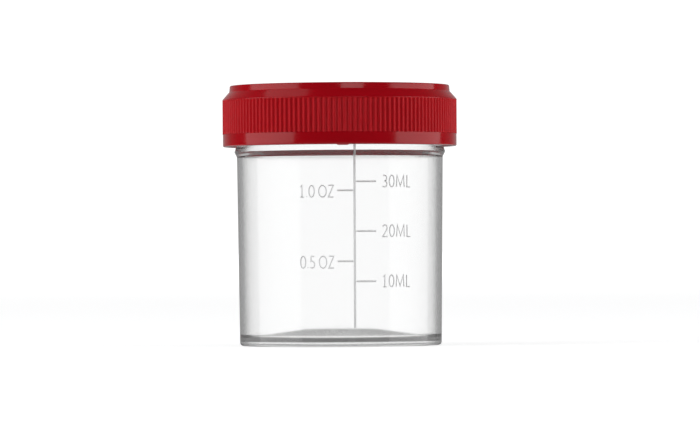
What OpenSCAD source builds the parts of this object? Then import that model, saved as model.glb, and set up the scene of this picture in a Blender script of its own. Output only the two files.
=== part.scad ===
// Urine specimen bottle of about 40 ml with a screw cap: a clear tapered container with a moulded
// volume scale, a red ribbed cap, and the sealing liner that the cap holds against the rim.
// Millimetres, +Z up. The origin is the centre of the base, on the surface that the bottle stands on.
// The scale faces -Y.

/* [Container] */
// Outer diameter of the wall at the foot
foot_d = 38.5; // [37.8:0.1:38.9]
// Outer diameter of the wall just below the stop bead
shoulder_d = 39.3; // [39:0.05:39.5]
// Thickness of the side wall
wall = 1.05; // [0.8:0.05:1.1]
// Height at which the tapered wall ends and the bead begins
shoulder_z = 36.0; // [32:0.1:36.4]
// Outer diameter of the stop bead
bead_d = 40.2; // [40.1:0.05:40.5]
// Height of the bead's crest
bead_z = 36.95; // [36.9:0.05:37.2]
// Radius of the outer corner round the base
corner_r = 0.6; // [0.3:0.05:0.9]

/* [Floor] */
// Height of the floor's upper face at the wall
floor_z = 1.5; // [1.3:0.05:2.2]
// Thickness of the floor
floor_t = 0.5; // [0.5:0.05:0.8]
// How far the middle of the floor is pushed up
floor_rise = 1.55; // [0.8:0.05:1.8]
// Diameter of the flat middle of the floor
floor_flat_d = 14; // [8:0.1:20]
// Diameter at which the floor's slope begins
floor_slope_d = 35.2; // [26:0.1:35.2]
// Width of the foot ring that the bottle stands on
foot_ring_w = 1.3; // [1.1:0.05:1.8]
// Radius of the fillet between wall and floor
floor_fillet = 0.6; // [0.4:0.05:0.6]
// Diameter of the gate nub under the floor
gate_d = 1.7; // [1:0.1:2]
// Length of the gate nub below the floor's lower face
gate_drop = 0.8; // [0.2:0.05:0.9]
// Distance of the gate nub from the axis
gate_offset = 1.6; // [0:0.1:3]

/* [Neck and thread] */
// Outer diameter of the neck between its threads
neck_d = 39.6; // [39.4:0.05:39.7]
// Height at which the slope above the bead runs out into the neck
neck_low_z = 38.3; // [38:0.1:39]
// Height of the sealing rim
rim_z = 47.5; // [47:0.1:47.5]
// Radius of the rim's rounded edges
rim_round = 0.4; // [0.2:0.05:0.45]
// Outer diameter over the neck's thread
thread_d = 41.9; // [41.6:0.05:42]
// Rise of the thread in one turn
thread_pitch = 4.23; // [3.8:0.01:4.5]
// Turns of thread on the neck and in the cap
thread_turns = 1.0; // [0.7:0.05:1]
// Height of the middle of the neck's thread where it starts
thread_start_z = 41.1; // [40.9:0.1:41.2]
// Play along the axis between the cap's thread and the neck's
thread_play = 0.15; // [0.12:0.01:0.2]

/* [Cap] */
// Largest diameter of the cap
cap_d = 44.7; // [44.6:0.05:46]
// Diameter of the smooth band below the ribs
band_d = 44.55; // [44.4:0.05:44.7]
// Height of the cap's lower edge
cap_low_z = 37.95; // [37.9:0.05:38.2]
// Height of the top of the cap
cap_top_z = 49.6; // [49.5:0.05:50.2]
// Top of the smooth band below the ribs
band_top_z = 40.3; // [39.8:0.05:41]
// Top of the ribs
rib_top_z = 46.65; // [45:0.05:46.8]
// Height at which the sloped shoulder begins
slope_low_z = 46.9; // [46.8:0.05:47.2]
// Diameter of the cap's top rim
rim_step_d = 41.95; // [41.8:0.05:42.6]
// Height at which the sloped shoulder meets the top rim
rim_step_z = 48.45; // [48:0.05:48.6]
// Thickness of the cap's skirt
skirt_t = 1.05; // [0.9:0.05:1.05]
// Number of grip ribs
rib_count = 146; // [90:2:160]
// Depth of the grooves between the ribs
rib_depth = 0.3; // [0.15:0.01:0.4]
// Depth of the recess in the top
recess_depth = 0.35; // [0.1:0.05:0.5]
// Width of the raised edge round the recess
recess_edge_w = 1.5; // [1.2:0.1:3]

/* [Liner] */
// Diameter of the sealing liner
liner_d = 40.4; // [40.3:0.02:40.5]
// Thickness of the sealing liner
liner_t = 0.96; // [0.6:0.02:0.96]

/* [Volume scale] */
// Height of the moulded marks above the wall
mark_h = 0.12; // [0.05:0.01:0.2]
// Width of the marks' lines
mark_w = 0.37; // [0.2:0.01:0.5]
// Direction of the upright line, from the front towards +X
line_angle = 8; // [0:0.5:20]
// Lower end of the upright line
line_low_z = 3.6; // [3:0.1:6]
// Upper end of the upright line, under the cap
line_high_z = 38.9; // [38.5:0.1:39.4]
// Direction of the outer end of the millilitre marks
ml_mark_end = 20.1; // [14:0.1:26]
// Direction of the outer end of the fluid ounce marks
oz_mark_end = -1.6; // [-8:0.1:4]
// Direction between the middle of the upright line and the start of each mark
mark_gap_angle = 1.2; // [0.6:0.1:2]
// How far the millilitre marks are moulded above the true level
ml_shift = 0.5; // [0:0.05:0.6]
// How far the ounce marks are moulded above the true level
oz_shift = 0.3; // [0:0.05:0.6]

/* [Hidden] */
$fn = 180;

clear_plastic = "#DDE4E7";
red_plastic = "#A01420";
foam_white = "#F2F2EE";

// Radii
foot_r = foot_d / 2;
shoulder_r = shoulder_d / 2;
bead_r = bead_d / 2;
neck_r = neck_d / 2;
thread_r = thread_d / 2;
cap_r = cap_d / 2;
band_r = band_d / 2;
rim_step_r = rim_step_d / 2;
liner_r = liner_d / 2;
flat_r = floor_flat_d / 2;
slope_r = floor_slope_d / 2;

// Wall taper, in radius per height, and the radius of the wall's two faces at a height
taper = (shoulder_r - foot_r) / (shoulder_z - corner_r);
function outer_r(z) = foot_r + taper * (z - corner_r);
function inner_r(z) = outer_r(z) - wall;

// Bead: its crest is an arc. A slope leads up to the arc from the wall, and two lead down to the neck.
bead_round = 0.3;
bead_low_deg = 27;
bead_high_deg = 20;
bead_fade_z = bead_z + 0.5;
bead_fade_r = neck_r + 0.14;
foot_ring_round = 0.2;
arc_steps = 6;
function arc(centre, r, from, to) =
    [for (i = [0 : arc_steps]) let (a = from + (to - from) * i / arc_steps)
        centre + r * [cos(a), sin(a)]];

// Outline of the container, as radius and height: up the outside, over the rim and down the inside
foot_in_r = foot_r - foot_ring_w;
mouth_r = inner_r(rim_z);
fillet_z = floor_z + floor_fillet;
container_outline = concat(
    [[0, floor_z + floor_rise - floor_t],
     [flat_r, floor_z + floor_rise - floor_t],
     [slope_r, floor_z - floor_t],
     [foot_in_r, floor_z - floor_t]],
    arc([foot_in_r + foot_ring_round, foot_ring_round], foot_ring_round, 180, 270),
    arc([foot_r - corner_r, corner_r], corner_r, 270, 360),
    [[shoulder_r, shoulder_z]],
    arc([bead_r - bead_round, bead_z], bead_round, -bead_low_deg, bead_high_deg),
    [[bead_fade_r, bead_fade_z],
     [neck_r, neck_low_z]],
    arc([neck_r - rim_round, rim_z - rim_round], rim_round, 0, 90),
    arc([mouth_r + rim_round, rim_z - rim_round], rim_round, 90, 180),
    arc([inner_r(fillet_z) - floor_fillet, fillet_z], floor_fillet, 0, -90),
    [[slope_r, floor_z],
     [flat_r, floor_z + floor_rise],
     [0, floor_z + floor_rise]]
);

// Height at which the container holds a volume in millilitres. The cavity is a cone frustum above the
// floor's level, less the pushed-up middle and the fillet.
mm3_per_ml = 1000;
floor_cone_mm3 = PI * floor_rise / 3 * (slope_r ^ 2 + slope_r * flat_r + flat_r ^ 2);
fillet_mm3 = 2 * PI * inner_r(floor_z) * (1 - PI / 4) * floor_fillet ^ 2;
lost_mm3 = floor_cone_mm3 + fillet_mm3;
function level_z(ml) =
    let (r0 = inner_r(floor_z), v = ml * mm3_per_ml + lost_mm3)
    floor_z + (pow(3 * taper * v / PI + r0 ^ 3, 1 / 3) - r0) / taper;

// Volumes that are marked. The ounces are imperial fluid ounces.
ml_marks = [10, 20, 30];
ml_per_oz = 28.41;
oz_marks = [0.5, 1];

// Thread ridges: trapezia that are wide at the wall and narrow at the crest
cap_in_r = cap_r - skirt_t;
cap_thread_r = neck_r + 0.42;
ridge_root_w = 1.9;
ridge_crest_w = 0.8;
cap_ridge_root_w = 1.7;
cap_ridge_crest_w = 0.7;
ridge_bury = 0.3;
ridge_end_share = 0.3;
ridge_step_deg = 6;
ridge_fade_deg = 24;
// The cap's ridge lies under the neck's, and its crest reaches this far up the other's sloped flank
flank_overlap = 0.2;
cap_thread_drop = (ridge_root_w + cap_ridge_crest_w) / 2 - flank_overlap + thread_play;

// Cap
liner_gap = 0.02;
panel_z = rim_z + liner_t + 2 * liner_gap;
recess_r = rim_step_r - recess_edge_w;
rib_crest_r = cap_r - 0.03;
rib_smooth_r = rib_crest_r - rib_depth - 0.02;
rib_bury = 0.1;
rib_points = 6;
lead_in = 0.3;
edge_round = 0.25;
cut_below = 1;
// The cap narrows under its sloped shoulder to a seat for the liner, with a bead that keeps it in
seat_r = liner_r + 0.1;
holder_r = liner_r - 0.12;
holder_z = rim_z - 0.2;
seat_low_z = rim_z - 0.05;
narrowing_z = rib_top_z - 0.65;
tab_middle = 1.5;
tab_angle = 5.5;
tab_drop = 0.15;
tab_inset = 0.1;
front_deg = -90;

// A ridge along a helix round Z. root_r is on the wall, and crest_r is outside it or inside it.
module thread_ridge(root_r, crest_r, root_w, crest_w, start_z) {
    out = crest_r > root_r ? 1 : -1;
    buried_r = root_r - out * ridge_bury;
    steps = round(360 * thread_turns / ridge_step_deg);
    // 0 at the two ends, where the ridge runs out inside the wall, and 1 along the rest
    function height(a) = min(1, a / ridge_fade_deg, (360 * thread_turns - a) / ridge_fade_deg);
    function ring(a) =
        let (h = height(a), r = buried_r + (crest_r - buried_r) * max(h, ridge_end_share),
             side = [[buried_r, root_w], [r, crest_w]])
        [for (p = [[0, -1], [1, -1], [1, 1], [0, 1]])
            let (s = side[out > 0 ? p[0] : 1 - p[0]])
            [s[0] * cos(a), s[0] * sin(a),
             start_z + thread_pitch * a / 360 + p[1] * s[1] / 2]];
    points = [for (i = [0 : steps]) each ring(360 * thread_turns * i / steps)];
    sides = [for (i = [0 : steps - 1]) for (j = [0 : 3])
        let (a = 4 * i + j, b = 4 * i + (j + 1) % 4)
        each [[a, b, b + 4], [a, b + 4, a + 4]]];
    ends = [[3, 2, 1, 0], [4 * steps, 4 * steps + 1, 4 * steps + 2, 4 * steps + 3]];
    polyhedron(points, concat(sides, ends), convexity = 6);
}

// A piece of a ring between two directions, measured from the front towards +X
module sector(from, to) {
    rotate([0, 0, front_deg + from]) rotate_extrude(angle = to - from) children();
}

// A mark that stands mark_h proud of the tapered wall between two heights
module wall_mark(from, to, low_z, high_z) {
    sector(from, to) polygon([
        [outer_r(low_z) - wall / 2, low_z],
        [outer_r(low_z) + mark_h, low_z],
        [outer_r(high_z) + mark_h, high_z],
        [outer_r(high_z) - wall / 2, high_z]
    ]);
}

// The upright line of the scale, which also crosses the bead and the neck
module upright_line() {
    half_deg = mark_w / 2 / shoulder_r * 180 / PI;
    buried_r = outer_r(line_low_z) - wall / 2;
    sector(line_angle - half_deg, line_angle + half_deg) polygon([
        [buried_r, line_low_z],
        [outer_r(line_low_z) + mark_h, line_low_z],
        [shoulder_r + mark_h, shoulder_z],
        [bead_r + mark_h, bead_z],
        [bead_fade_r + mark_h, bead_fade_z],
        [neck_r + mark_h, line_high_z],
        [buried_r, line_high_z]
    ]);
}

module volume_scale() {
    upright_line();
    for (ml = ml_marks) {
        z = level_z(ml) + ml_shift;
        wall_mark(line_angle + mark_gap_angle, ml_mark_end, z - mark_w / 2, z + mark_w / 2);
    }
    for (oz = oz_marks) {
        z = level_z(oz * ml_per_oz) + oz_shift;
        wall_mark(oz_mark_end, line_angle - mark_gap_angle, z - mark_w / 2, z + mark_w / 2);
    }
}

module gate_nub() {
    nub_top = floor_z + floor_rise - floor_t / 2;
    nub_low = floor_z + floor_rise - floor_t - gate_drop;
    translate([gate_offset, 0, nub_low]) cylinder(d = gate_d, h = nub_top - nub_low);
}

// The container: wall, floor, foot ring, bead, neck, thread and scale are one moulding
module container_body() {
    color(clear_plastic, 0.4) union() {
        rotate_extrude() polygon(container_outline);
        thread_ridge(neck_r, thread_r, ridge_root_w, ridge_crest_w, thread_start_z);
        volume_scale();
        gate_nub();
    }
}

// The liner: a flat disc that lies on the rim and stays in the cap when that comes off
module sealing_liner() {
    color(foam_white) translate([0, 0, rim_z + liner_gap]) cylinder(d = liner_d, h = liner_t);
}

// Outline of the cap's outside without its ribs, from the axis out
cap_outline = [
    [0, cap_low_z],
    [band_r - edge_round, cap_low_z],
    [band_r, cap_low_z + edge_round],
    [band_r, band_top_z],
    [rib_smooth_r, band_top_z],
    [rib_smooth_r, rib_top_z],
    [cap_r, rib_top_z],
    [cap_r, slope_low_z],
    [rim_step_r, rim_step_z],
    [rim_step_r, cap_top_z - edge_round],
    [rim_step_r - edge_round, cap_top_z],
    [recess_r, cap_top_z],
    [recess_r - recess_depth, cap_top_z - recess_depth],
    [0, cap_top_z - recess_depth]
];

// Outline of the cap's inside, with the bead that keeps the liner in
cap_cavity = [
    [0, cap_low_z - cut_below],
    [cap_in_r + lead_in, cap_low_z - cut_below],
    [cap_in_r + lead_in, cap_low_z],
    [cap_in_r, cap_low_z + 2 * lead_in],
    [cap_in_r, narrowing_z],
    [holder_r, holder_z],
    [seat_r, seat_low_z],
    [seat_r, panel_z],
    [0, panel_z]
];

// Outline of the ribs seen from above: a wave with rib_count crests
rib_outline = [for (i = [0 : rib_count * rib_points - 1])
    let (turn = i / rib_points, r = rib_crest_r - rib_depth * (1 - cos(360 * turn)) / 2)
    r * [cos(360 * turn / rib_count), sin(360 * turn / rib_count)]];

module ribs() {
    translate([0, 0, band_top_z - rib_bury])
        linear_extrude(rib_top_z - band_top_z + 2 * rib_bury)
            polygon(rib_outline);
}

// A small moulding tab under the skirt's front edge
module edge_tab() {
    tab_in_r = cap_in_r + lead_in + tab_inset;
    tab_out_r = band_r - edge_round - tab_inset;
    sector(tab_middle - tab_angle / 2, tab_middle + tab_angle / 2) polygon([
        [tab_in_r, cap_low_z - tab_drop],
        [tab_out_r, cap_low_z - tab_drop],
        [tab_out_r, cap_low_z + edge_round],
        [tab_in_r, cap_low_z + edge_round]
    ]);
}

module screw_cap() {
    color(red_plastic) union() {
        difference() {
            union() {
                rotate_extrude() polygon(cap_outline);
                ribs();
            }
            rotate_extrude() polygon(cap_cavity);
        }
        thread_ridge(cap_in_r, cap_thread_r, cap_ridge_root_w, cap_ridge_crest_w,
                     thread_start_z - cap_thread_drop);
        edge_tab();
    }
}

container_body();
sealing_liner();
screw_cap();
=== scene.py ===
"""A small urine specimen bottle, built round its CAD frame: a clear container with a moulded volume
scale, a red ribbed screw cap, and the foam liner inside the cap. The scale faces -Y."""

import math

import bmesh
import bpy
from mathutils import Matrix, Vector

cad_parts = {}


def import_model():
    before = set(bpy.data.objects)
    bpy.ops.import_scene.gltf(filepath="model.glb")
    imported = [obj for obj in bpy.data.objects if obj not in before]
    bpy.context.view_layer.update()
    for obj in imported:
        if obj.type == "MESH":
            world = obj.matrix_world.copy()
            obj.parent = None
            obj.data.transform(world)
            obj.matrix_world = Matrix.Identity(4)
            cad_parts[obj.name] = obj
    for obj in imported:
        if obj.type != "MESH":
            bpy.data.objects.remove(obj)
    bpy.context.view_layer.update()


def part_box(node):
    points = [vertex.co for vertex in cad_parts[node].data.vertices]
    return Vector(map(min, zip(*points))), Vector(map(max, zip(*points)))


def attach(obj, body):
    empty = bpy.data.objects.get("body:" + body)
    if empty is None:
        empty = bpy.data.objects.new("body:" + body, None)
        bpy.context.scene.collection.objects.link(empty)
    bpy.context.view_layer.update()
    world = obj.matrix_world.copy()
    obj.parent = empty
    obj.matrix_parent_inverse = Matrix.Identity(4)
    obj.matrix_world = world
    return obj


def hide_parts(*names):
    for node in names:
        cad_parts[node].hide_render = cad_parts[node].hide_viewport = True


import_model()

MM = 0.001
scene = bpy.context.scene


# ---------------------------------------------------------------- sizes, in millimetres
def box_mm(node_name):
    """The lowest and highest corner of a CAD node, in millimetres."""
    low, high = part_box(node_name)
    return low / MM, high / MM


_, body_high = box_mm("container_body")
_, cap_high = box_mm("screw_cap")
liner_low, liner_high = box_mm("sealing_liner")

# Container
RIM_Z = body_high.z
THREAD_R = body_high.y
FOOT_R = 19.25
SHOULDER_R, SHOULDER_Z = 19.65, 36.0
BEAD_R, BEAD_Z = 20.13, 36.95
BEAD_FADE_R, BEAD_FADE_Z = 19.94, 37.47
NECK_R, NECK_Z = 19.8, 38.3
WALL = 1.05
CORNER_R = 0.6
FLOOR_Z, FLOOR_T, FLOOR_RISE = 1.5, 0.5, 1.55
FLAT_R, SLOPE_R = 7.0, 17.9
FOOT_RING_W = 1.3
TAPER = (SHOULDER_R - FOOT_R) / (SHOULDER_Z - CORNER_R)

# Fillets of the container's outline
FLAT_FILLET, FLOOR_FILLET = 3, 0.6
RING_TOP_FILLET, RING_LOW_FILLET = 0.1, 0.2
SHOULDER_FILLET, BEAD_FILLET, BEAD_FADE_FILLET, NECK_FILLET = 0.8, 0.3, 0.25, 1.5
RIM_FILLET = 0.4

# Gate nub, a flat disc with a soft edge. The last two are shares of its radius
GATE_R, GATE_X, GATE_DROP = 0.85, 1.6, 0.8
GATE_FLAT, GATE_EDGE = 0.75, 0.35

# Thread
PITCH = 4.23
THREAD_START_Z = 41.1
THREAD_LOW_Z = NECK_Z + 0.2
RIDGE_ROOT, RIDGE_CREST = 0.95, 0.4
CAP_RIDGE_ROOT, CAP_RIDGE_CREST = 0.85, 0.35
CAP_THREAD_DROP = 1.25
CAP_THREAD_R = NECK_R + 0.42
FADE_DEG = 24

# Cap. CAP_R is at the point of the corner below the shoulder, which a fillet rounds off
CAP_CORNER_OUT = 0.04
CAP_R = cap_high.x + CAP_CORNER_OUT
CAP_TOP_Z = cap_high.z
CAP_LOW_Z = 37.96
BAND_R, BAND_TOP_Z = 22.31, 40.3
RIB_R, RIB_TOP_Z = CAP_R - 0.03, 46.8
RIBS = 146
RIB_DEPTH = 0.3
SLOPE_LOW_Z = 46.9
RIM_R, RIM_STEP_R, RIM_STEP_Z = 20.94, 21.05, 48.42
RECESS_R, RECESS_DEPTH = 19.475, 0.35
CAP_IN_R = CAP_R - 1.05
SKIRT_LOW_Z, SKIRT_TOP_Z = CAP_LOW_Z + 0.6, RIB_TOP_Z - 0.8
LIP_W, LIP_SLOPE = 0.4, 0.3
TAB_DEG, TAB_WIDE_DEG, TAB_SOFT_DEG, TAB_DROP = 1.5, 5.5, 0.5, 0.15

# Fillets of the cap's outline
RECESS_FILLET, RIM_STEP_FILLET, SLOPE_FILLET, BAND_FILLET = 0.2, 0.3, 0.25, 0.25
LIP_FILLET, SKIRT_FILLET = 0.12, 0.3
HOLD_FILLET, GROOVE_LOW_FILLET, GROOVE_TOP_FILLET = 0.08, 0.05, 0.15

# Liner, and the bead and groove in the cap that hold it
LINER_R = liner_high.x
LINER_LOW, LINER_TOP = liner_low.z, liner_high.z
LINER_EDGE = 0.12
HOLD_IN, HOLD_OUT, HOLD_H, HOLD_Z = 0.12, 0.1, 0.15, RIM_Z - 0.2
LINER_GAP = 0.02

# Volume scale
MARK_H, MARK_W, TICK_W = 0.09, 0.4, 0.3
LINE_DEG = 8.0
LINE_LOW, LINE_HIGH = 3.6, 38.9
LINE_STEPS, TICK_STEPS = 30, 12
ML_END_DEG, OZ_END_DEG = 20.1, -1.6
GAP_DEG = 0.9
ML_SHIFT, OZ_SHIFT = 0.5, 0.3
ML_PER_OZ = 28.41
ML_MARKS, OZ_MARKS = (10, 20, 30), (0.5, 1.0)

# Numerals: height, direction of the left end, height above the mark, and the gap between letters as a
# share of the height
TEXT_H = 2.2
ML_TEXT_DEG, ML_TEXT_UP, ML_TEXT_GAP = 24.1, 0.04, 0.195
OZ_TEXT_DEG, OZ_TEXT_UP, OZ_TEXT_GAP = -22.7, -0.14, 0.17
STROKE_W, STROKE_H = 0.21, 0.07

# Spacing of the points along an outline, and the number of columns round the axis
EDGE_STEP = 0.06
THREAD_STEP, CAP_THREAD_STEP, GATE_STEP = 0.13, 0.17, 0.16
WALL_STEP, PLAIN_STEP = 1.6, 1.2
CONTAINER_COLUMNS, LINER_COLUMNS = 288, 180
# Allowance when a point's place is tested, and the angles from which an edge is shaded sharp
TOUCH = 0.001
LATHE_SHARP_DEG, RELIEF_SHARP_DEG = 40, 60


def outer_r(z):
    """Radius of the tapered wall's outside at height z."""
    return FOOT_R + TAPER * (z - CORNER_R)


def inner_r(z):
    """Radius of the tapered wall's inside at height z."""
    return outer_r(z) - WALL


# ---------------------------------------------------------------- outlines and lathed meshes
def rounded(corners, steps=6):
    """The outline through corners (radius, height, fillet), each corner rounded by an arc of its fillet."""
    points = [Vector(c[:2]) for c in corners]
    out = [points[0]]
    for i in range(1, len(points) - 1):
        p, fillet = points[i], corners[i][2]
        if not fillet:
            out.append(p)
            continue
        to_last, to_next = (points[i - 1] - p).normalized(), (points[i + 1] - p).normalized()
        half = to_last.angle(to_next) / 2
        centre = p + (to_last + to_next).normalized() * fillet / math.sin(half)
        reach = fillet / math.tan(half)
        first, last = p + to_last * reach - centre, p + to_next * reach - centre
        for k in range(steps + 1):
            out.append(centre + first.slerp(last, k / steps) * fillet)
    return out + [points[-1]]


def spaced(outline, step_at):
    """The outline with points added along its straight stretches. Each long stretch gets one near both
    its ends, so that smooth shading stays within the fillets, and the rest are step_at apart."""
    out = [outline[0]]
    for p, q in zip(outline, outline[1:]):
        length = (q - p).length
        if length > 4 * EDGE_STEP:
            near, far = EDGE_STEP / length, 1 - EDGE_STEP / length
            count = max(1, math.ceil(length / step_at((p + q) / 2)))
            for share in [near + (far - near) * k / count for k in range(count + 1)]:
                out.append(p.lerp(q, share))
        out.append(q)
    return out


def plain(p):
    """The shape of a lathe's row that is the same at every angle."""
    return lambda a: (p.x, p.y)


def turned(outline, shape, columns):
    """The rows of a lathe: shape(point) is a function from an angle to a radius and height in mm, and a
    point on the axis has one column."""
    return [(shape(p), 1 if p.x < TOUCH else columns) for p in outline]


def lathe(name, rows, at_column=None):
    """A closed mesh turned about Z, from rows that run from axis to axis. at_column moves the columns'
    angles."""
    mesh = bpy.data.meshes.new(name)
    bm = bmesh.new()
    rings = []
    for point, columns in rows:
        if columns == 1:
            rings.append([bm.verts.new(Vector((0, 0, point(0)[1])) * MM)])
            continue
        ring = []
        for k in range(columns):
            a = at_column(k, columns) if at_column else 2 * math.pi * k / columns
            r, z = point(a)
            ring.append(bm.verts.new(Vector((r * math.cos(a), r * math.sin(a), z)) * MM))
        rings.append(ring)
    for low, high in zip(rings, rings[1:]):
        join_rings(bm, low, high)
    bmesh.ops.recalc_face_normals(bm, faces=bm.faces)
    bm.to_mesh(mesh)
    bm.free()
    return add_object(name, mesh, LATHE_SHARP_DEG)


def join_rings(bm, a, b):
    """Faces between two rings of a lathe, which may have different numbers of columns."""
    if len(a) > len(b):
        a, b = b, a
    if len(a) == 1:
        for k in range(len(b)):
            bm.faces.new((a[0], b[k], b[(k + 1) % len(b)]))
        return
    per = len(b) // len(a)
    for k in range(len(a)):
        fine = [b[(k * per + j) % len(b)] for j in range(per + 1)]
        bm.faces.new([a[k], *fine, a[(k + 1) % len(a)]])


def add_object(name, mesh, sharp_deg):
    """An object of the mesh, shaded smooth except where its faces meet at more than sharp_deg."""
    mesh.shade_smooth()
    mesh.set_sharp_from_angle(angle=math.radians(sharp_deg))
    obj = bpy.data.objects.new(name, mesh)
    scene.collection.objects.link(obj)
    return obj


def smooth_step(t):
    """A smooth rise from 0 to 1 as t goes from 0 to 1."""
    t = min(max(t, 0.0), 1.0)
    return t * t * (3 - 2 * t)


def ridge(a, z, start_z, root, crest):
    """How far up a thread ridge the point at angle a and height z is, from 0 on the wall to 1 on the
    crest. The ridge makes one turn and fades out at both ends."""
    off = abs(z - start_z - PITCH * a / (2 * math.pi))
    fade = min(1.0, math.degrees(a) / FADE_DEG, (360 - math.degrees(a)) / FADE_DEG)
    return (1 - smooth_step((off - crest) / (root - crest))) * smooth_step(fade)


def front_angle(degrees):
    """The angle about Z of a direction measured from the front towards +X."""
    return math.radians(degrees - 90)


# ---------------------------------------------------------------- container
FLOOR_TOP_Z = FLOOR_Z + FLOOR_RISE
FLOOR_UNDER_Z = FLOOR_Z - FLOOR_T


def container_outline():
    """Outline of the container, from the axis under its floor to the axis on its floor."""
    foot_in_r = FOOT_R - FOOT_RING_W
    return rounded([
        (0, FLOOR_TOP_Z - FLOOR_T, 0),
        (FLAT_R, FLOOR_TOP_Z - FLOOR_T, FLAT_FILLET),
        (SLOPE_R, FLOOR_UNDER_Z, 0),
        (foot_in_r, FLOOR_UNDER_Z, RING_TOP_FILLET),
        (foot_in_r, 0, RING_LOW_FILLET),
        (outer_r(0), 0, CORNER_R),
        (SHOULDER_R, SHOULDER_Z, SHOULDER_FILLET),
        (BEAD_R, BEAD_Z, BEAD_FILLET),
        (BEAD_FADE_R, BEAD_FADE_Z, BEAD_FADE_FILLET),
        (NECK_R, NECK_Z, NECK_FILLET),
        (NECK_R, RIM_Z, RIM_FILLET),
        (inner_r(RIM_Z), RIM_Z, RIM_FILLET),
        (inner_r(FLOOR_Z), FLOOR_Z, FLOOR_FILLET),
        (FLAT_R, FLOOR_TOP_Z, FLAT_FILLET),
        (0, FLOOR_TOP_Z, 0),
    ])


def container():
    """The container's solid, with the thread on its neck and the gate nub under its floor."""
    under_floor_z = FLOOR_TOP_Z - FLOOR_T / 2

    def step_at(p):
        if p.x > NECK_R - 0.1 and p.y > THREAD_LOW_Z:
            return THREAD_STEP
        return GATE_STEP if p.x < FLAT_R and p.y < under_floor_z else WALL_STEP

    def shaped(p):
        on_neck = p.x > NECK_R - TOUCH and p.y > THREAD_LOW_Z
        near_gate = p.x < GATE_X + 2 * GATE_R and p.y < under_floor_z

        def point(a):
            r, z = p
            if on_neck:
                r += (THREAD_R - NECK_R) * ridge(a, z, THREAD_START_Z, RIDGE_ROOT, RIDGE_CREST)
            if near_gate:
                away = math.hypot(r * math.cos(a) - GATE_X, r * math.sin(a)) / GATE_R
                z -= GATE_DROP * (1 - smooth_step((away - GATE_FLAT) / GATE_EDGE))
            return r, z
        return point

    obj = lathe("container", turned(spaced(container_outline(), step_at), shaped, CONTAINER_COLUMNS))
    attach(obj, "container")
    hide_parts("container_body")
    return obj


# ---------------------------------------------------------------- cap
# Section of one rib, from a groove's middle to the next: share of the rib spacing, share of the depth
RIB_SECTION = [(0.0, 1.0), (0.1, 0.9), (0.2, 0.62), (0.29, 0.3), (0.39, 0.06), (0.5, 0.0),
               (0.61, 0.06), (0.71, 0.3), (0.8, 0.62), (0.9, 0.9)]
RIB_COLUMNS = len(RIB_SECTION)
FINE_COLUMNS = RIBS * RIB_COLUMNS
COARSE_COLUMNS = RIBS * 2
# The grooves run out over a height at both ends. Their rows are at these shares of it
RIB_TOP_END, RIB_LOW_END = 0.45, 0.15
RIB_END_ROWS = [0.06, 0.18, 0.34, 0.54, 0.76, 1.0]
RIB_MIDDLE_GAP = 0.08


def rib_angle(k, columns):
    """Angle of column k. The fine columns stand at the points of the rib section."""
    if columns != FINE_COLUMNS:
        return 2 * math.pi * k / columns
    rib, j = divmod(k, RIB_COLUMNS)
    return 2 * math.pi * (rib + RIB_SECTION[j][0]) / RIBS


def rib_groove(a, z):
    """How deep the groove between the ribs is at angle a, which is a point of the section, and height z."""
    share = a * RIBS / (2 * math.pi) % 1

    def away(point):
        off = abs(share - point[0])
        return min(off, 1 - off)

    depth = min(RIB_SECTION, key=away)[1]
    ends = min((z - BAND_TOP_Z) / RIB_LOW_END, (RIB_TOP_Z - z) / RIB_TOP_END)
    return RIB_DEPTH * depth * math.sqrt(max(0.0, 1 - (1 - min(max(ends, 0.0), 1.0)) ** 2))


def slope_point(share):
    """A point of the sloped shoulder, from its top at 0 to its foot at 1."""
    return Vector((RIM_STEP_R, RIM_STEP_Z)).lerp(Vector((CAP_R, SLOPE_LOW_Z)), share)


def cap_top():
    """Outline of the cap's top, from the axis to the middle of the sloped shoulder."""
    floor_z = CAP_TOP_Z - RECESS_DEPTH
    return rounded([
        (0, floor_z, 0),
        (RECESS_R - RECESS_DEPTH, floor_z, RECESS_FILLET),
        (RECESS_R, CAP_TOP_Z, RECESS_FILLET),
        (RIM_R, CAP_TOP_Z, RECESS_FILLET),
        (RIM_STEP_R, RIM_STEP_Z, RIM_STEP_FILLET),
        (*slope_point(0.5), 0),
    ])


def cap_side():
    """Outline of the shoulder's lower half, the ribs and the lower band, where the ribs are cut."""
    top = rounded([
        (*slope_point(0.56), 0),
        (CAP_R, SLOPE_LOW_Z, SLOPE_FILLET),
        (RIB_R, RIB_TOP_Z - 0.12, 0),
    ], steps=5)
    low = rounded([
        (BAND_R, BAND_TOP_Z - 0.04, 0),
        (BAND_R, CAP_LOW_Z, BAND_FILLET),
        (BAND_R - LIP_W, CAP_LOW_Z, 0),
    ], steps=4)
    rows = [RIB_TOP_Z - RIB_TOP_END * share for share in RIB_END_ROWS[2:]]
    rows += [RIB_TOP_Z - RIB_TOP_END - RIB_MIDDLE_GAP, BAND_TOP_Z + RIB_LOW_END + RIB_MIDDLE_GAP]
    rows += [BAND_TOP_Z + RIB_LOW_END * share for share in reversed(RIB_END_ROWS)]
    rows += [BAND_TOP_Z]
    return top + [Vector((RIB_R, z)) for z in rows] + [Vector((BAND_R, BAND_TOP_Z))] + low


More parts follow.
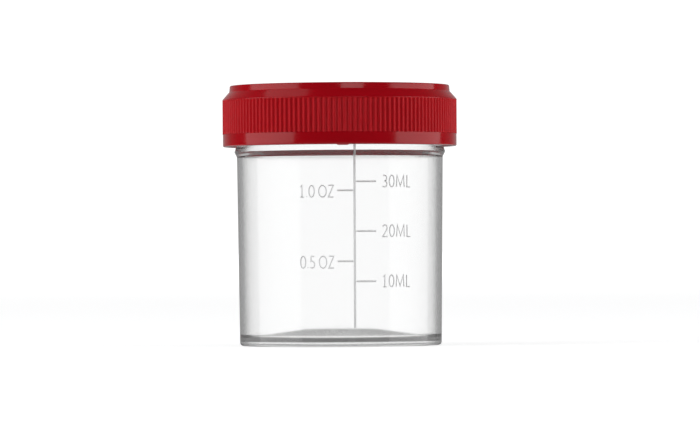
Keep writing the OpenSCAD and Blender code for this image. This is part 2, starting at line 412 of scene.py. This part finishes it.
def cap_inside():
    """Outline of the inside, from the lower edge to the axis: skirt, liner bead and panel."""
    panel_z = LINER_TOP + LINER_GAP
    return rounded([
        (BAND_R - LIP_W - 0.05, CAP_LOW_Z, 0),
        (CAP_IN_R + LIP_SLOPE, CAP_LOW_Z, LIP_FILLET),
        (CAP_IN_R, SKIRT_LOW_Z, SKIRT_FILLET),
        (CAP_IN_R, SKIRT_TOP_Z, SKIRT_FILLET),
        (LINER_R - HOLD_IN, HOLD_Z, HOLD_FILLET),
        (LINER_R + HOLD_OUT, HOLD_Z + HOLD_H, GROOVE_LOW_FILLET),
        (LINER_R + HOLD_OUT, panel_z, GROOVE_TOP_FILLET),
        (0, panel_z, 0),
    ], steps=4)


def cap():
    """The cap's solid, with ribs outside, a thread inside and a small tab on its lower edge."""
    def ribbed(p):
        on_lip = p.y < CAP_LOW_Z + 0.1 and p.x < BAND_R - 0.1
        on_ribs = BAND_TOP_Z <= p.y < RIB_TOP_Z and p.x > BAND_R + TOUCH

        def point(a):
            off = abs(math.remainder(a - front_angle(TAB_DEG), 2 * math.pi))
            on_tab = smooth_step((math.radians(TAB_WIDE_DEG / 2) - off) / math.radians(TAB_SOFT_DEG) + 0.5)
            return p.x - (rib_groove(a, p.y) if on_ribs else 0), p.y - (TAB_DROP * on_tab if on_lip else 0)
        return point

    def threaded(p):
        on_skirt = p.x > CAP_IN_R - TOUCH and p.y > SKIRT_LOW_Z

        def point(a):
            up = ridge(a, p.y, THREAD_START_Z - CAP_THREAD_DROP, CAP_RIDGE_ROOT, CAP_RIDGE_CREST)
            return p.x - ((CAP_IN_R - CAP_THREAD_R) * up if on_skirt else 0), p.y
        return point

    def step_inside(p):
        return CAP_THREAD_STEP if p.x > CAP_IN_R - 0.01 and p.y > SKIRT_LOW_Z else PLAIN_STEP

    rows = turned(spaced(cap_top(), lambda p: PLAIN_STEP), plain, COARSE_COLUMNS)
    rows += turned(cap_side(), ribbed, FINE_COLUMNS)
    rows += turned(spaced(cap_inside(), step_inside), threaded, COARSE_COLUMNS)
    obj = lathe("cap", rows, rib_angle)
    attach(obj, "cap")
    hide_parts("screw_cap")
    return obj


# ---------------------------------------------------------------- liner
def liner():
    """The foam disc in the cap."""
    outline = rounded([
        (0, LINER_LOW, 0),
        (LINER_R, LINER_LOW, LINER_EDGE),
        (LINER_R, LINER_TOP, LINER_EDGE),
        (0, LINER_TOP, 0),
    ], steps=4)
    obj = lathe("liner", turned(spaced(outline, lambda p: PLAIN_STEP), plain, LINER_COLUMNS))
    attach(obj, "liner")
    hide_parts("sealing_liner")
    return obj


# ---------------------------------------------------------------- volume scale
# Radius and height of the turns that the scale's upright line takes above the tapered wall
LINE_TURNS = [(SHOULDER_R, SHOULDER_Z), (BEAD_R - 0.05, BEAD_Z - 0.12), (BEAD_R - 0.05, BEAD_Z + 0.1),
              (BEAD_FADE_R, BEAD_FADE_Z), (NECK_R, NECK_Z), (NECK_R, LINE_HIGH)]
MM_PER_DEG = math.radians(1) * SHOULDER_R
# Section of a raised line: share of half its width, and share of its height. Its two feet are sunk
RELIEF_SECTION = [(-1, 0.3), (-0.5, 1.0), (0.5, 1.0), (1, 0.3)]
FOOT_SPREAD, FOOT_SUNK = 1.1, 0.05


def level_z(ml):
    """Height at which the container holds that volume."""
    r0 = inner_r(FLOOR_Z)
    cone = math.pi * FLOOR_RISE / 3 * (SLOPE_R ** 2 + SLOPE_R * FLAT_R + FLAT_R ** 2)
    fillet = 2 * math.pi * r0 * (1 - math.pi / 4) * FLOOR_FILLET ** 2
    volume = ml * 1000 + cone + fillet
    return FLOOR_Z + ((3 * TAPER * volume / math.pi + r0 ** 3) ** (1 / 3) - r0) / TAPER


def surface_r(z):
    """Radius under a raised line at height z: the tapered wall, then the turns above it."""
    for (r0, z0), (r1, z1) in zip(LINE_TURNS, LINE_TURNS[1:]):
        if z0 < z <= z1:
            return r0 + (r1 - r0) * (z - z0) / (z1 - z0)
    return outer_r(z)


def surface_point(degrees, z, lift):
    """A point lift mm outside the container's surface, in metres."""
    r, a = surface_r(z) + lift, front_angle(degrees)
    return Vector((r * math.cos(a), r * math.sin(a), z)) * MM


def ribbon(bm, path, width, height):
    """A raised line on the container. path holds (degrees, z) points, and the line is width mm wide."""
    section = [(side, share * height) for side, share in RELIEF_SECTION]
    section = [(-FOOT_SPREAD, -FOOT_SUNK), *section, (FOOT_SPREAD, -FOOT_SUNK)]
    flat = [Vector((d * MM_PER_DEG, z)) for d, z in path]
    rings = []
    for i, p in enumerate(flat):
        before = (p - flat[i - 1]).normalized() if i else (flat[1] - p).normalized()
        after = (flat[i + 1] - p).normalized() if i < len(flat) - 1 else before
        along = (before + after).normalized()
        reach = width / 2 / max(along.dot(after), 0.5)
        across = Vector((-along.y, along.x)) * reach
        ring = []
        for side, lift in section:
            q = p + across * side
            ring.append(bm.verts.new(surface_point(q.x / MM_PER_DEG, q.y, lift)))
        rings.append(ring)
    for a, b in zip(rings, rings[1:]):
        for j in range(len(a)):
            k = (j + 1) % len(a)
            bm.faces.new((a[j], a[k], b[k], b[j]))
    bm.faces.new(rings[0])
    bm.faces.new(rings[-1][::-1])


def finish_relief(name, bm):
    """The object of the raised lines in bm, which rides on the container."""
    bmesh.ops.recalc_face_normals(bm, faces=bm.faces)
    mesh = bpy.data.meshes.new(name)
    bm.to_mesh(mesh)
    bm.free()
    obj = add_object(name, mesh, RELIEF_SHARP_DEG)
    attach(obj, "container")
    return obj


def scale_line():
    """The upright line of the scale, which crosses the bead and runs up under the cap."""
    heights = [LINE_LOW + (SHOULDER_Z - LINE_LOW) * k / LINE_STEPS for k in range(LINE_STEPS + 1)]
    heights += [z for _, z in LINE_TURNS[1:]]
    bm = bmesh.new()
    ribbon(bm, [(LINE_DEG, z) for z in heights], MARK_W, MARK_H)
    return finish_relief("scale_line", bm)


def scale_marks():
    """The short level marks: millilitres to the right of the line, fluid ounces to the left."""
    bm = bmesh.new()
    levels = [(level_z(ml) + ML_SHIFT, LINE_DEG + GAP_DEG, ML_END_DEG) for ml in ML_MARKS]
    levels += [(level_z(oz * ML_PER_OZ) + OZ_SHIFT, OZ_END_DEG, LINE_DEG - GAP_DEG) for oz in OZ_MARKS]
    for z, start, end in levels:
        path = [(start + (end - start) * k / TICK_STEPS, z) for k in range(TICK_STEPS + 1)]
        ribbon(bm, path, TICK_W, MARK_H)
    return finish_relief("scale_marks", bm)


# ---------------------------------------------------------------- numerals
def arc(cx, cy, rx, ry, start, end, steps=12):
    """Points of an elliptical arc, angles in degrees."""
    angles = [math.radians(start + (end - start) * k / steps) for k in range(steps + 1)]
    return [(cx + rx * math.cos(a), cy + ry * math.sin(a)) for a in angles]


# Plain single-line characters in a cell 1 high: a width, and the strokes as points
GLYPHS = {
    "0": (0.49, [arc(0.245, 0.5, 0.235, 0.5, 90, 450, 24)]),
    "1": (0.42, [[(0.06, 0.84), (0.2, 1.0), (0.2, 0.0)], [(0.06, 0.0), (0.36, 0.0)]]),
    "2": (0.47, [arc(0.22, 0.74, 0.21, 0.26, 160, -30, 10) + [(0.01, 0.0), (0.46, 0.0)]]),
    "3": (0.44, [arc(0.18, 0.75, 0.2, 0.25, 130, -90), arc(0.18, 0.26, 0.23, 0.26, 90, -135)]),
    "5": (0.42, [[(0.37, 1.0), (0.09, 1.0), (0.07, 0.56)] + arc(0.16, 0.29, 0.23, 0.29, 100, -130)]),
    ".": (0.06, [[(0.03, 0.0), (0.03, 0.07)]]),
    "M": (0.88, [[(0.03, 0.0), (0.09, 1.0), (0.44, 0.08), (0.79, 1.0), (0.85, 0.0)]]),
    "L": (0.45, [[(0.08, 1.0), (0.08, 0.0), (0.43, 0.0)]]),
    "O": (0.67, [arc(0.335, 0.5, 0.325, 0.5, 90, 450, 28)]),
    "Z": (0.45, [[(0.02, 1.0), (0.43, 1.0), (0.01, 0.0), (0.45, 0.0)]]),
    " ": (0.04, []),
}


def write(bm, text, start_deg, middle_z, gap):
    """Writes the text on the wall, from its left end, centred on a height."""
    x, low_z = 0.0, middle_z - TEXT_H / 2
    for letter in text:
        width, strokes = GLYPHS[letter]
        for stroke in strokes:
            path = [(start_deg + (x + px) * TEXT_H / MM_PER_DEG, low_z + py * TEXT_H) for px, py in stroke]
            ribbon(bm, path, STROKE_W, STROKE_H)
        x += width + gap


def scale_numerals():
    """The volumes beside the marks."""
    bm = bmesh.new()
    for ml in ML_MARKS:
        write(bm, f"{ml}ML", ML_TEXT_DEG, level_z(ml) + ML_SHIFT + ML_TEXT_UP, ML_TEXT_GAP)
    for oz in OZ_MARKS:
        write(bm, f"{oz} OZ", OZ_TEXT_DEG, level_z(oz * ML_PER_OZ) + OZ_SHIFT + OZ_TEXT_UP, OZ_TEXT_GAP)
    return finish_relief("scale_numerals", bm)


# ---------------------------------------------------------------- shader nodes
def material(name):
    """A new material with its Principled node."""
    mat = bpy.data.materials.new(name)
    mat.use_nodes = True
    return mat, mat.node_tree, mat.node_tree.nodes["Principled BSDF"]


def feed(tree, target, inputs):
    """Gives a node its inputs, each a value or a link."""
    for key, value in inputs.items():
        if isinstance(value, bpy.types.NodeSocket):
            tree.links.new(value, target.inputs[key])
        else:
            target.inputs[key].default_value = value


def node(tree, kind, inputs=(), **settings):
    """A node of that kind, with its settings and inputs."""
    made = tree.nodes.new(kind)
    for key, value in settings.items():
        setattr(made, key, value)
    feed(tree, made, dict(inputs))
    return made


def own_place(tree):
    """The place in the object's own space, in metres."""
    return node(tree, "ShaderNodeTexCoord").outputs["Object"]


def noise(tree, scale, detail=3.0, stretch=(1, 1, 1)):
    """Noise in the object's own space. scale is in repeats per metre."""
    spread = node(tree, "ShaderNodeMapping", {"Vector": own_place(tree), "Scale": stretch})
    return node(tree, "ShaderNodeTexNoise", {
        "Vector": spread.outputs["Vector"], "Scale": scale, "Detail": detail}).outputs["Fac"]


def ranged(tree, value, low, high, start=0.3, end=0.7):
    """value, mapped from start..end to low..high."""
    return node(tree, "ShaderNodeMapRange", {
        "Value": value, "From Min": start, "From Max": end, "To Min": low, "To Max": high,
    }).outputs["Result"]


def maths(tree, operation, *values):
    """The result of a Math node."""
    return node(tree, "ShaderNodeMath", dict(enumerate(values)), operation=operation).outputs[0]


def mixed(tree, factor, a, b):
    """A colour between a and b, each a colour or a link."""
    a, b = (c if isinstance(c, bpy.types.NodeSocket) else (*c, 1) for c in (a, b))
    return node(tree, "ShaderNodeMix", {"Factor": factor, "A": a, "B": b}, data_type="RGBA").outputs["Result"]


def bump(tree, height, distance, strength=1.0):
    """Normals of a surface that height raises by up to distance metres."""
    return node(tree, "ShaderNodeBump", {
        "Height": height, "Distance": distance, "Strength": strength}).outputs["Normal"]


# ---------------------------------------------------------------- materials
# Each surface's two tints, its least and most roughness, and its noises in repeats per metre
CLEAR_TINTS = (0.986, 0.989, 0.989), (0.993, 0.994, 0.994)
CLEAR_ROUGH = 0.07, 0.13
CLEAR_FLOW, CLEAR_HAZE, FLOW_STRETCH = 90, 700, (1, 1, 0.35)
CLEAR_IOR, RED_IOR = 1.49, 1.5
FROSTED_TINTS = (0.96, 0.965, 0.97), (0.985, 0.99, 0.99)
FROSTED_ROUGH = 0.32, 0.48
FROSTED_GRAIN, FROSTED_CLEARNESS = 5000, 0.78
GLOSSY_REDS = (0.5, 0.0008, 0.007), (0.55, 0.0018, 0.01)
# The ribs' red is a lighter copy of the band's red, painted light for the light the ribs catch. Their satin
# finish is the roughness and specular level below.
RIB_REDS_PAINTED_LIGHTER = (0.6, 0.0008, 0.008), (0.66, 0.0018, 0.011)
RED_ROUGH, SATIN_ROUGH = (0.1, 0.16), 0.3
GLOSSY_SPECULAR, SATIN_SPECULAR = 0.5, 0.22
RED_FLOW, RED_SHINE, RED_GRAIN = 140, 500, 900
FOAM_TINTS = (0.86, 0.86, 0.83), (0.93, 0.93, 0.91)
FOAM_ROUGH, FOAM_CELLS = (0.5, 0.75), 3500
FLOOR_TINTS = (0.90, 0.91, 0.92), (0.93, 0.94, 0.95)
FLOOR_CLOUD, FLOOR_ROUGH, FLOOR_SPECULAR = 1.3, 0.8, 0.1
# The floor's glow, near the bottle and far from it, and the distances in metres
FLOOR_GLOW, FAR_GLOW = 0.66, 1.05
GLOW_START, GLOW_END = 0.3, 3.0


def clear_plastic():
    """Clear plastic with a slight haze and faint flow marks."""
    mat, tree, shader = material("clear_plastic")
    flow = noise(tree, CLEAR_FLOW, 2, FLOW_STRETCH)
    feed(tree, shader, {
        "Transmission Weight": 1.0,
        "IOR": CLEAR_IOR,
        "Base Color": mixed(tree, flow, *CLEAR_TINTS),
        "Roughness": ranged(tree, noise(tree, CLEAR_HAZE), *CLEAR_ROUGH),
        "Normal": bump(tree, flow, 0.02 * MM, 0.4),
    })
    return mat


def red_plastic():
    """Red plastic, glossy on the shoulder and band and satin on the ribs. On the ribs its red is painted
    lighter than on the band, which is painted light.
    """
    mat, tree, shader = material("red_plastic")
    height = node(tree, "ShaderNodeSeparateXYZ", {"Vector": own_place(tree)}).outputs["Z"]
    above_band = ranged(tree, height, 0.0, 1.0, BAND_TOP_Z * MM, (BAND_TOP_Z + 0.1) * MM)
    below_slope = ranged(tree, height, 1.0, 0.0, (RIB_TOP_Z - 0.05) * MM, (RIB_TOP_Z + 0.05) * MM)
    on_ribs = maths(tree, "MULTIPLY", above_band, below_slope)
    shine = ranged(tree, noise(tree, RED_SHINE, 4), *RED_ROUGH)
    flow = noise(tree, RED_FLOW)
    feed(tree, shader, {
        "IOR": RED_IOR,
        # Painted light: on the ribs the base colour is mixed to the lighter, painted-light copy of the red.
        "Base Color": mixed(tree, on_ribs, mixed(tree, flow, *GLOSSY_REDS), mixed(tree, flow, *RIB_REDS_PAINTED_LIGHTER)),
        "Roughness": maths(tree, "MULTIPLY_ADD", on_ribs, SATIN_ROUGH, shine),
        "Specular IOR Level": ranged(tree, on_ribs, GLOSSY_SPECULAR, SATIN_SPECULAR, 0.0, 1.0),
        "Normal": bump(tree, noise(tree, RED_GRAIN, 2), 0.01 * MM, 0.25),
    })
    return mat


def foam():
    """White foamed sheet with fine cells."""
    mat, tree, shader = material("liner_foam")
    cells = node(tree, "ShaderNodeTexVoronoi", {
        "Vector": own_place(tree), "Scale": FOAM_CELLS}).outputs["Distance"]
    feed(tree, shader, {
        "Base Color": mixed(tree, cells, *FOAM_TINTS),
        "Roughness": ranged(tree, cells, *FOAM_ROUGH),
        "Normal": bump(tree, cells, 0.06 * MM),
    })
    return mat


def frosted():
    """The scale's raised lines: clear plastic with a fine frosting."""
    mat, tree, shader = material("frosted_relief")
    grain = noise(tree, FROSTED_GRAIN, 2)
    feed(tree, shader, {
        "Transmission Weight": FROSTED_CLEARNESS,
        "IOR": CLEAR_IOR,
        "Base Color": mixed(tree, grain, *FROSTED_TINTS),
        "Roughness": ranged(tree, grain, *FROSTED_ROUGH),
        "Normal": bump(tree, grain, 0.03 * MM),
    })
    return mat


def pale_floor():
    """A pale matt floor that glows, so that it fades into the white background."""
    mat, tree, shader = material("pale_floor")
    away = node(tree, "ShaderNodeVectorMath", {0: own_place(tree)}, operation="LENGTH").outputs["Value"]
    feed(tree, shader, {
        "Base Color": mixed(tree, noise(tree, FLOOR_CLOUD), *FLOOR_TINTS),
        "Roughness": FLOOR_ROUGH,
        "Specular IOR Level": FLOOR_SPECULAR,
        "Emission Color": (1, 1, 1, 1),
        "Emission Strength": ranged(tree, away, FLOOR_GLOW, FAR_GLOW, GLOW_START, GLOW_END),
    })
    return mat


# ---------------------------------------------------------------- camera and light, in metres
FOCAL_PX = 5000.0
IMAGE_W = 700
SENSOR_MM = 36.0
CAMERA_DISTANCE = 0.955
EYE_Z = 0.01819
PITCH_DEG, YAW_DEG, ROLL_DEG = 0.395, 0.11, 0.345
CLIP_START, CLIP_END = 0.05, 100.0
FLOOR_R = 30.0

# Soft panels: name, azimuth from the front towards +X, distance, height of the middle, width, height,
# glow, and whether reflections see it. All of them face the bottle's middle
PANEL_AIM_Z = 0.03
PANELS = [
    ("softbox_left", -75, 0.7, 0.2, 0.86, 0.6, 1.08, True),
    ("softbox_high", -110, 0.43, 0.85, 0.45, 0.4, 0.45, True),
    ("softbox_right", 86, 0.7, 0.12, 0.82, 0.5, 1.12, True),
    ("softbox_front", 13, 1.2, 0.36, 0.5, 0.2, 1.6, True),
    ("fill_left", -70, 0.9, 0.1, 0.6, 0.6, 2.6, False),
    ("fill_right", 72, 0.9, 0.1, 0.6, 0.6, 2.6, False),
]

# The world's glow, by the kind of ray and by its direction. BENEATH, ABOVE and TABLE each have the two
# heights of the ray's direction between which they fade, from -1 straight down to 1 straight up
WORLD_SEEN, WORLD_LIGHT = (1.1, 1.1, 1.1), (0.18, 0.18, 0.18)
WORLD_BENEATH, BENEATH_FADE = (0.78, 0.75, 0.7), (-0.5, -0.4)
WORLD_ABOVE, ABOVE_FADE = 0.7, (0.08, 0.25)
TABLE_MIRRORED, TABLE_FADE = 0.9, (-0.5, -0.15)
# Glow at the end of a path inside the plastic, after few and after many reflections
GUIDED, LONG_GUIDED, GUIDED_DEPTHS = 0.44, 0.22, (3.0, 7.0)
# Glow of the surroundings as a reflection sees them, by how far its direction leans towards +Y, 0 to 1
MIRRORED = [(0.0, 0.025), (0.5, 0.05), (0.77, 0.14), (0.87, 0.23), (0.94, 0.29), (1.0, 0.33)]


def camera():
    """The camera at the photo's viewing angle."""
    data = bpy.data.cameras.new("camera")
    data.sensor_width = SENSOR_MM
    data.lens = FOCAL_PX * SENSOR_MM / IMAGE_W
    data.clip_start = CLIP_START
    data.clip_end = CLIP_END
    obj = bpy.data.objects.new("camera", data)
    scene.collection.objects.link(obj)
    obj.location = (0, -CAMERA_DISTANCE, EYE_Z)
    obj.rotation_euler = (math.radians(90 + PITCH_DEG), math.radians(ROLL_DEG), -math.radians(YAW_DEG))
    scene.camera = obj


def panel(name, azimuth, distance, centre_z, width, height, glow, mirrored):
    """A soft panel beside the bottle."""
    data = bpy.data.lights.new(name, "AREA")
    data.shape = "RECTANGLE"
    data.size, data.size_y = width, height
    data.energy = glow * width * height * math.pi
    obj = bpy.data.objects.new(name, data)
    scene.collection.objects.link(obj)
    a = front_angle(azimuth)
    obj.location = (distance * math.cos(a), distance * math.sin(a), centre_z)
    towards = Vector((0, 0, PANEL_AIM_Z)) - obj.location
    obj.rotation_euler = towards.to_track_quat("-Z", "Y").to_euler()
    obj.visible_camera = False
    obj.visible_transmission = False
    obj.visible_glossy = mirrored


def world():
    """A white studio. What is seen straight or through the clear plastic is white, and darker high up
    and far down. A reflection sees dark surroundings with a pale table, and a path that is reflected
    inside the plastic ends in grey."""
    made = bpy.data.worlds.new("studio")
    made.use_nodes = True
    scene.world = made
    tree = made.node_tree
    ray = node(tree, "ShaderNodeLightPath").outputs
    towards = node(tree, "ShaderNodeSeparateXYZ", {
        "Vector": node(tree, "ShaderNodeTexCoord").outputs["Generated"]}).outputs

    level = ranged(tree, towards["Z"], 0.0, 1.0, *BENEATH_FADE)
    above = ranged(tree, towards["Z"], 1.0, WORLD_ABOVE, *ABOVE_FADE)
    backdrop = node(tree, "ShaderNodeVectorMath", {
        0: mixed(tree, level, WORLD_BENEATH, WORLD_SEEN), "Scale": above}, operation="SCALE")
    seen = mixed(tree, ray["Is Diffuse Ray"], backdrop.outputs["Vector"], WORLD_LIGHT)

    glow = node(tree, "ShaderNodeValToRGB", {"Fac": towards["Y"]})
    stops = glow.color_ramp.elements
    for at, grey in MIRRORED[1:-1]:
        stops.new(at)
    for stop, (at, grey) in zip(stops, MIRRORED):
        stop.position, stop.color = at, (grey, grey, grey, 1)
    table = ranged(tree, towards["Z"], TABLE_MIRRORED, 0.0, *TABLE_FADE)
    around = node(tree, "ShaderNodeVectorMath", {0: glow.outputs["Color"], 1: table}, operation="ADD")
    guided = ranged(tree, ray["Glossy Depth"], GUIDED, LONG_GUIDED, *GUIDED_DEPTHS)
    reflected = mixed(tree, ray["Is Transmission Ray"], around.outputs["Vector"], guided)

    mirrored = maths(tree, "MINIMUM", ray["Glossy Depth"], 1.0)
    feed(tree, tree.nodes["Background"], {"Color": mixed(tree, mirrored, seen, reflected)})


def floor():
    """The floor, which only the camera sees."""
    bm = bmesh.new()
    bmesh.ops.create_circle(bm, cap_ends=True, cap_tris=False, segments=128, radius=FLOOR_R)
    mesh = bpy.data.meshes.new("floor")
    bm.to_mesh(mesh)
    bm.free()
    obj = bpy.data.objects.new("floor", mesh)
    scene.collection.objects.link(obj)
    obj.data.materials.append(pale_floor())
    obj.visible_glossy = False
    obj.visible_transmission = False
    obj.visible_diffuse = False


# ---------------------------------------------------------------- the scene
camera()
world()
for settings in PANELS:
    panel(*settings)
floor()

container().data.materials.append(clear_plastic())
cap().data.materials.append(red_plastic())
liner().data.materials.append(foam())
relief = frosted()
for piece in (scale_line(), scale_marks(), scale_numerals()):
    piece.data.materials.append(relief)

# White stays white, and light gets through the thick clear foot
scene.view_settings.view_transform = "Standard"
scene.cycles.max_bounces = 32
scene.cycles.transmission_bounces = 24
scene.cycles.glossy_bounces = 24
